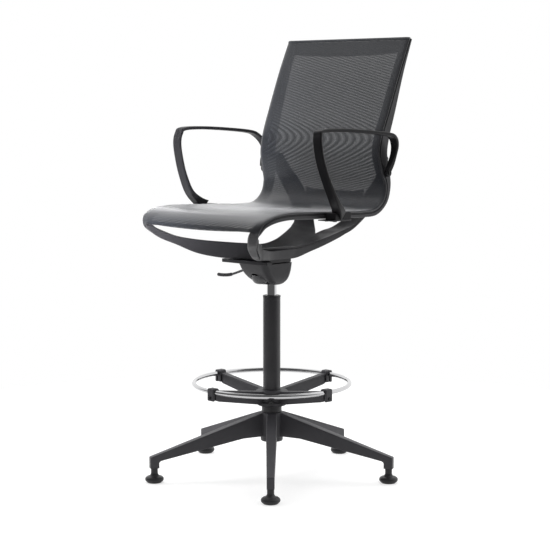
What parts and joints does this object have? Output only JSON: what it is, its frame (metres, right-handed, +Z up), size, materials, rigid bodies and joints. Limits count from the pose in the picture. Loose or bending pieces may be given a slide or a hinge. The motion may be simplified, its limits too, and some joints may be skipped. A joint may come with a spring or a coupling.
{
  "type": "drafting chair",
  "caption": "Tall swivel chair with a mesh seat and back in one curved frame, loop arms, tilt mechanism, gas lift, chrome footring and star base on glides.",
  "frame": {"origin": "point on the floor on the column axis, where the chair stands on its glides", "axes": "+Z up along the column, -Y the way the sitter faces, +X the sitter's left"},
  "size_m": [0.7133, 0.7078, 1.2617],
  "materials": {
    "base_nylon": "glass-filled nylon with a fine mould grain",
    "glide_nylon": "satin nylon",
    "column_paint": "fine satin powder coat",
    "bush_plastic": "slippery dark acetal",
    "steel": "zinc-plated, dull",
    "screw_black": "black oxide",
    "chrome": "mirror-bright plating",
    "buffer_rubber": "dense black rubber",
    "ring_nylon": "glass-filled nylon with a fine mould grain",
    "housing_plastic": "fine mould grain",
    "cast_metal": "as cast",
    "knob_plastic": "satin",
    "lever_steel": "satin black coat",
    "grip_rubber": "soft satin",
    "frame_nylon": "glass-filled nylon, satin with a fine mould grain",
    "knit": "open polyester knit with fine horizontal ribs",
    "welt_plastic": "extruded welt",
    "arm_nylon": "glass-filled nylon, satin with a fine mould grain"
  },
  "bodies": {
    "base": {"star_base": "base_nylon", "glide_stems": "steel", "glide_pads": "glide_nylon", "stand_tube": "column_paint", "guide_bush": "bush_plastic", "bearing_lower_race": "steel", "rubber_buffer": "buffer_rubber"},
    "foot_ring": {"footring_tube": "chrome", "footring_hub": "ring_nylon", "ring_clips": "ring_nylon", "clip_screws": "screw_black", "collet_sleeve": "bush_plastic"},
    "ring_lock": {"ring_lock_screw": "screw_black"},
    "lift_rod": {"piston_rod": "chrome", "piston": "steel", "rod_clip": "steel", "bearing_upper_race": "steel", "bearing_balls": "chrome"},
    "mechanism": {"gas_cylinder": "chrome", "mechanism_housing": "housing_plastic", "column_casting": "cast_metal", "housing_screws": "screw_black", "lever_pin": "steel", "tilt_axle": "steel", "axle_clips": "steel", "tilt_spring": "steel"},
    "valve_pin": {"release_pin": "steel"},
    "lever": {"height_lever": "lever_steel", "lever_grip": "grip_rubber"},
    "tension": {"tension_knob": "knob_plastic", "tension_screw": "steel"},
    "seat_frame": {"tilt_plate": "housing_plastic", "plate_screws": "screw_black", "front_yoke": "frame_nylon", "cradle": "frame_nylon", "side_rail_left": "frame_nylon", "side_rail_right": "frame_nylon", "top_rail": "frame_nylon", "front_bar": "frame_nylon", "mesh": "knit", "welt_left": "welt_plastic", "welt_right": "welt_plastic", "back_screws": "screw_black", "arm_left": "arm_nylon", "arm_right": "arm_nylon", "arm_bracket_left": "frame_nylon", "arm_bracket_right": "frame_nylon", "arm_screws": "screw_black"}
  },
  "joints": [
    {"name": "footring_height", "type": "slide", "parent": "base", "child": "foot_ring", "axis": [0, 0, 1], "range_m": [0, 0.2]},
    {"name": "ring_lock_turn", "type": "hinge", "parent": "foot_ring", "child": "ring_lock", "pos_m": [0.03011, -0.03344, 0.217], "axis": [0.6691, -0.7431, 0], "range_deg": [0, 360]},
    {"name": "seat_swivel", "type": "hinge", "parent": "base", "child": "lift_rod", "pos_m": [0, 0, 0.3], "axis": [0, 0, 1], "continuous": true},
    {"name": "seat_height", "type": "slide", "parent": "lift_rod", "child": "mechanism", "axis": [0, 0, 1], "range_m": [-0.03, 0.16]},
    {"name": "seat_tilt", "type": "hinge", "parent": "mechanism", "child": "seat_frame", "pos_m": [0, 0.024, 0.606], "axis": [-1, 0, 0], "range_deg": [0, 12], "stiffness_Nm_per_rad": 60, "springref_deg": -20.05},
    {"name": "lever_lift", "type": "hinge", "parent": "mechanism", "child": "lever", "pos_m": [-0.042, -0.035, 0.598], "axis": [0, 1, 0], "range_deg": [0, 5], "stiffness_Nm_per_rad": 2, "springref_deg": -5.73},
    {"name": "valve_push", "type": "slide", "parent": "mechanism", "child": "valve_pin", "axis": [0, 0, -1], "range_m": [0, 0.004]},
    {"name": "tension_turn", "type": "hinge", "parent": "mechanism", "child": "tension", "pos_m": [0, -0.046, 0.575], "axis": [0, 0, 1], "continuous": true}
  ],
  "couplings": [
    {"joint": "valve_push", "follows": "lever_lift", "m_per_rad": 0.042}
  ]
}
